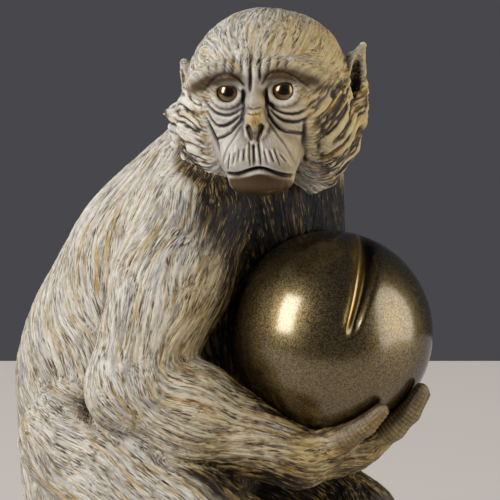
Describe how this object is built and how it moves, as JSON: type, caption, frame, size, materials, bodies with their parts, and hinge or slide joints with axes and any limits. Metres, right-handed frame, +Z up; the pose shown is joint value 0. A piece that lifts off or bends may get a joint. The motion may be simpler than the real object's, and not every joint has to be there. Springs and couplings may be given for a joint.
{
  "type": "monkey figurine",
  "caption": "Seated monkey figurine in antiqued cast resin that turns its face to the viewer and holds a glossy round fruit in both hands.",
  "frame": {"origin": "centre of the footprint's box, on the ground under the felt pads", "axes": "+Z up; the face looks along -Y with +X to the viewer's right; the body is turned 30 degrees towards +X from that view"},
  "size_m": [0.2244, 0.2056, 0.3103],
  "materials": {
    "antiqued_cast_resin": "cold-cast resin with carved fur, dark stained, then dry-brushed with ivory and gold",
    "bronze_lacquer": "dark bronze flake paint under clear gloss lacquer",
    "eye_enamel": "glossy dark gold enamel",
    "pin_steel": "plain cut steel rod",
    "felt": "pressed felt"
  },
  "bodies": {
    "root": {"torso": "antiqued_cast_resin", "head": "antiqued_cast_resin", "right_arm": "antiqued_cast_resin", "left_arm": "antiqued_cast_resin", "right_hand": "antiqued_cast_resin", "left_hand": "antiqued_cast_resin", "right_leg": "antiqued_cast_resin", "left_leg": "antiqued_cast_resin", "tail": "antiqued_cast_resin", "fruit": "bronze_lacquer", "right_eye": "eye_enamel", "left_eye": "eye_enamel", "neck_pin": "pin_steel", "right_shoulder_pin": "pin_steel", "left_shoulder_pin": "pin_steel", "right_wrist_pin": "pin_steel", "left_wrist_pin": "pin_steel", "right_hip_pin": "pin_steel", "left_hip_pin": "pin_steel", "tail_pin": "pin_steel", "fruit_pin": "pin_steel", "felt_pads": "felt"}
  },
  "joints": []
}
